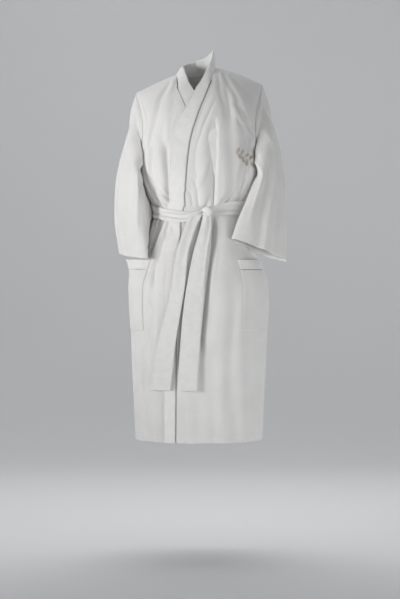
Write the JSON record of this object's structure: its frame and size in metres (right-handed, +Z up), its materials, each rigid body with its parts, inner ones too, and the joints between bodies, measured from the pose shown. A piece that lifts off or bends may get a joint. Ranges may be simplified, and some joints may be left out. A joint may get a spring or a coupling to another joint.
{
  "type": "bathrobe",
  "caption": "Kimono-style wrap bathrobe, belted and knotted, with wide sleeves, a banded front edge, piping and patch pockets.",
  "frame": {"origin": "centre of the neck at the height of the shoulder seams, where the robe rests on a wearer's shoulders", "axes": "+Z up; the robe's front faces -Y; the wearer's left is +X"},
  "size_m": [0.5616, 0.3236, 1.2708],
  "materials": {
    "cloth": "fine cotton sateen, matt with a faint sheen",
    "band": "the same cotton, doubled and topstitched",
    "belt": "the same cotton, doubled, creased by the knot",
    "piping": "thin grey satin cord",
    "thread": "raised beige embroidery thread",
    "label": "blank woven satin label"
  },
  "bodies": {
    "robe": {"back_panel": "cloth", "right_front_panel": "cloth", "left_front_panel": "cloth", "right_front_band": "band", "left_front_band": "band", "right_band_piping": "piping", "left_band_piping": "piping", "right_pocket": "cloth", "left_pocket": "cloth", "right_pocket_band": "band", "left_pocket_band": "band", "right_belt_loop": "band", "left_belt_loop": "band", "belt_waist": "belt", "belt_knot": "belt", "care_label": "label", "chest_embroidery": "thread"},
    "left_sleeve": {"left_sleeve": "cloth"},
    "right_sleeve": {"right_sleeve": "cloth"},
    "belt_right_tail": {"belt_right_tail": "belt"},
    "belt_left_tail": {"belt_left_tail": "belt"},
    "hanger_loop": {"hanger_loop": "band"}
  },
  "joints": [
    {"name": "left_sleeve_raise", "type": "hinge", "parent": "robe", "child": "left_sleeve", "pos_m": [0.2078, 0, -0.037], "axis": [0, -1, 0], "range_deg": [0, 65]},
    {"name": "right_sleeve_raise", "type": "hinge", "parent": "robe", "child": "right_sleeve", "pos_m": [-0.2078, 0, -0.064], "axis": [0, 1, 0], "range_deg": [0, 65]},
    {"name": "belt_left_tail_swing", "type": "hinge", "parent": "robe", "child": "belt_left_tail", "pos_m": [0.026, -0.128, -0.47], "axis": [-1, 0, 0], "range_deg": [0, 60]},
    {"name": "belt_right_tail_swing", "type": "hinge", "parent": "robe", "child": "belt_right_tail", "pos_m": [-0.01, -0.128, -0.47], "axis": [-1, 0, 0], "range_deg": [0, 60]},
    {"name": "hanger_loop_flip", "type": "hinge", "parent": "robe", "child": "hanger_loop", "pos_m": [-0.01, 0.0515, -0.014], "axis": [-1, 0, 0], "range_deg": [0, 150]}
  ]
}
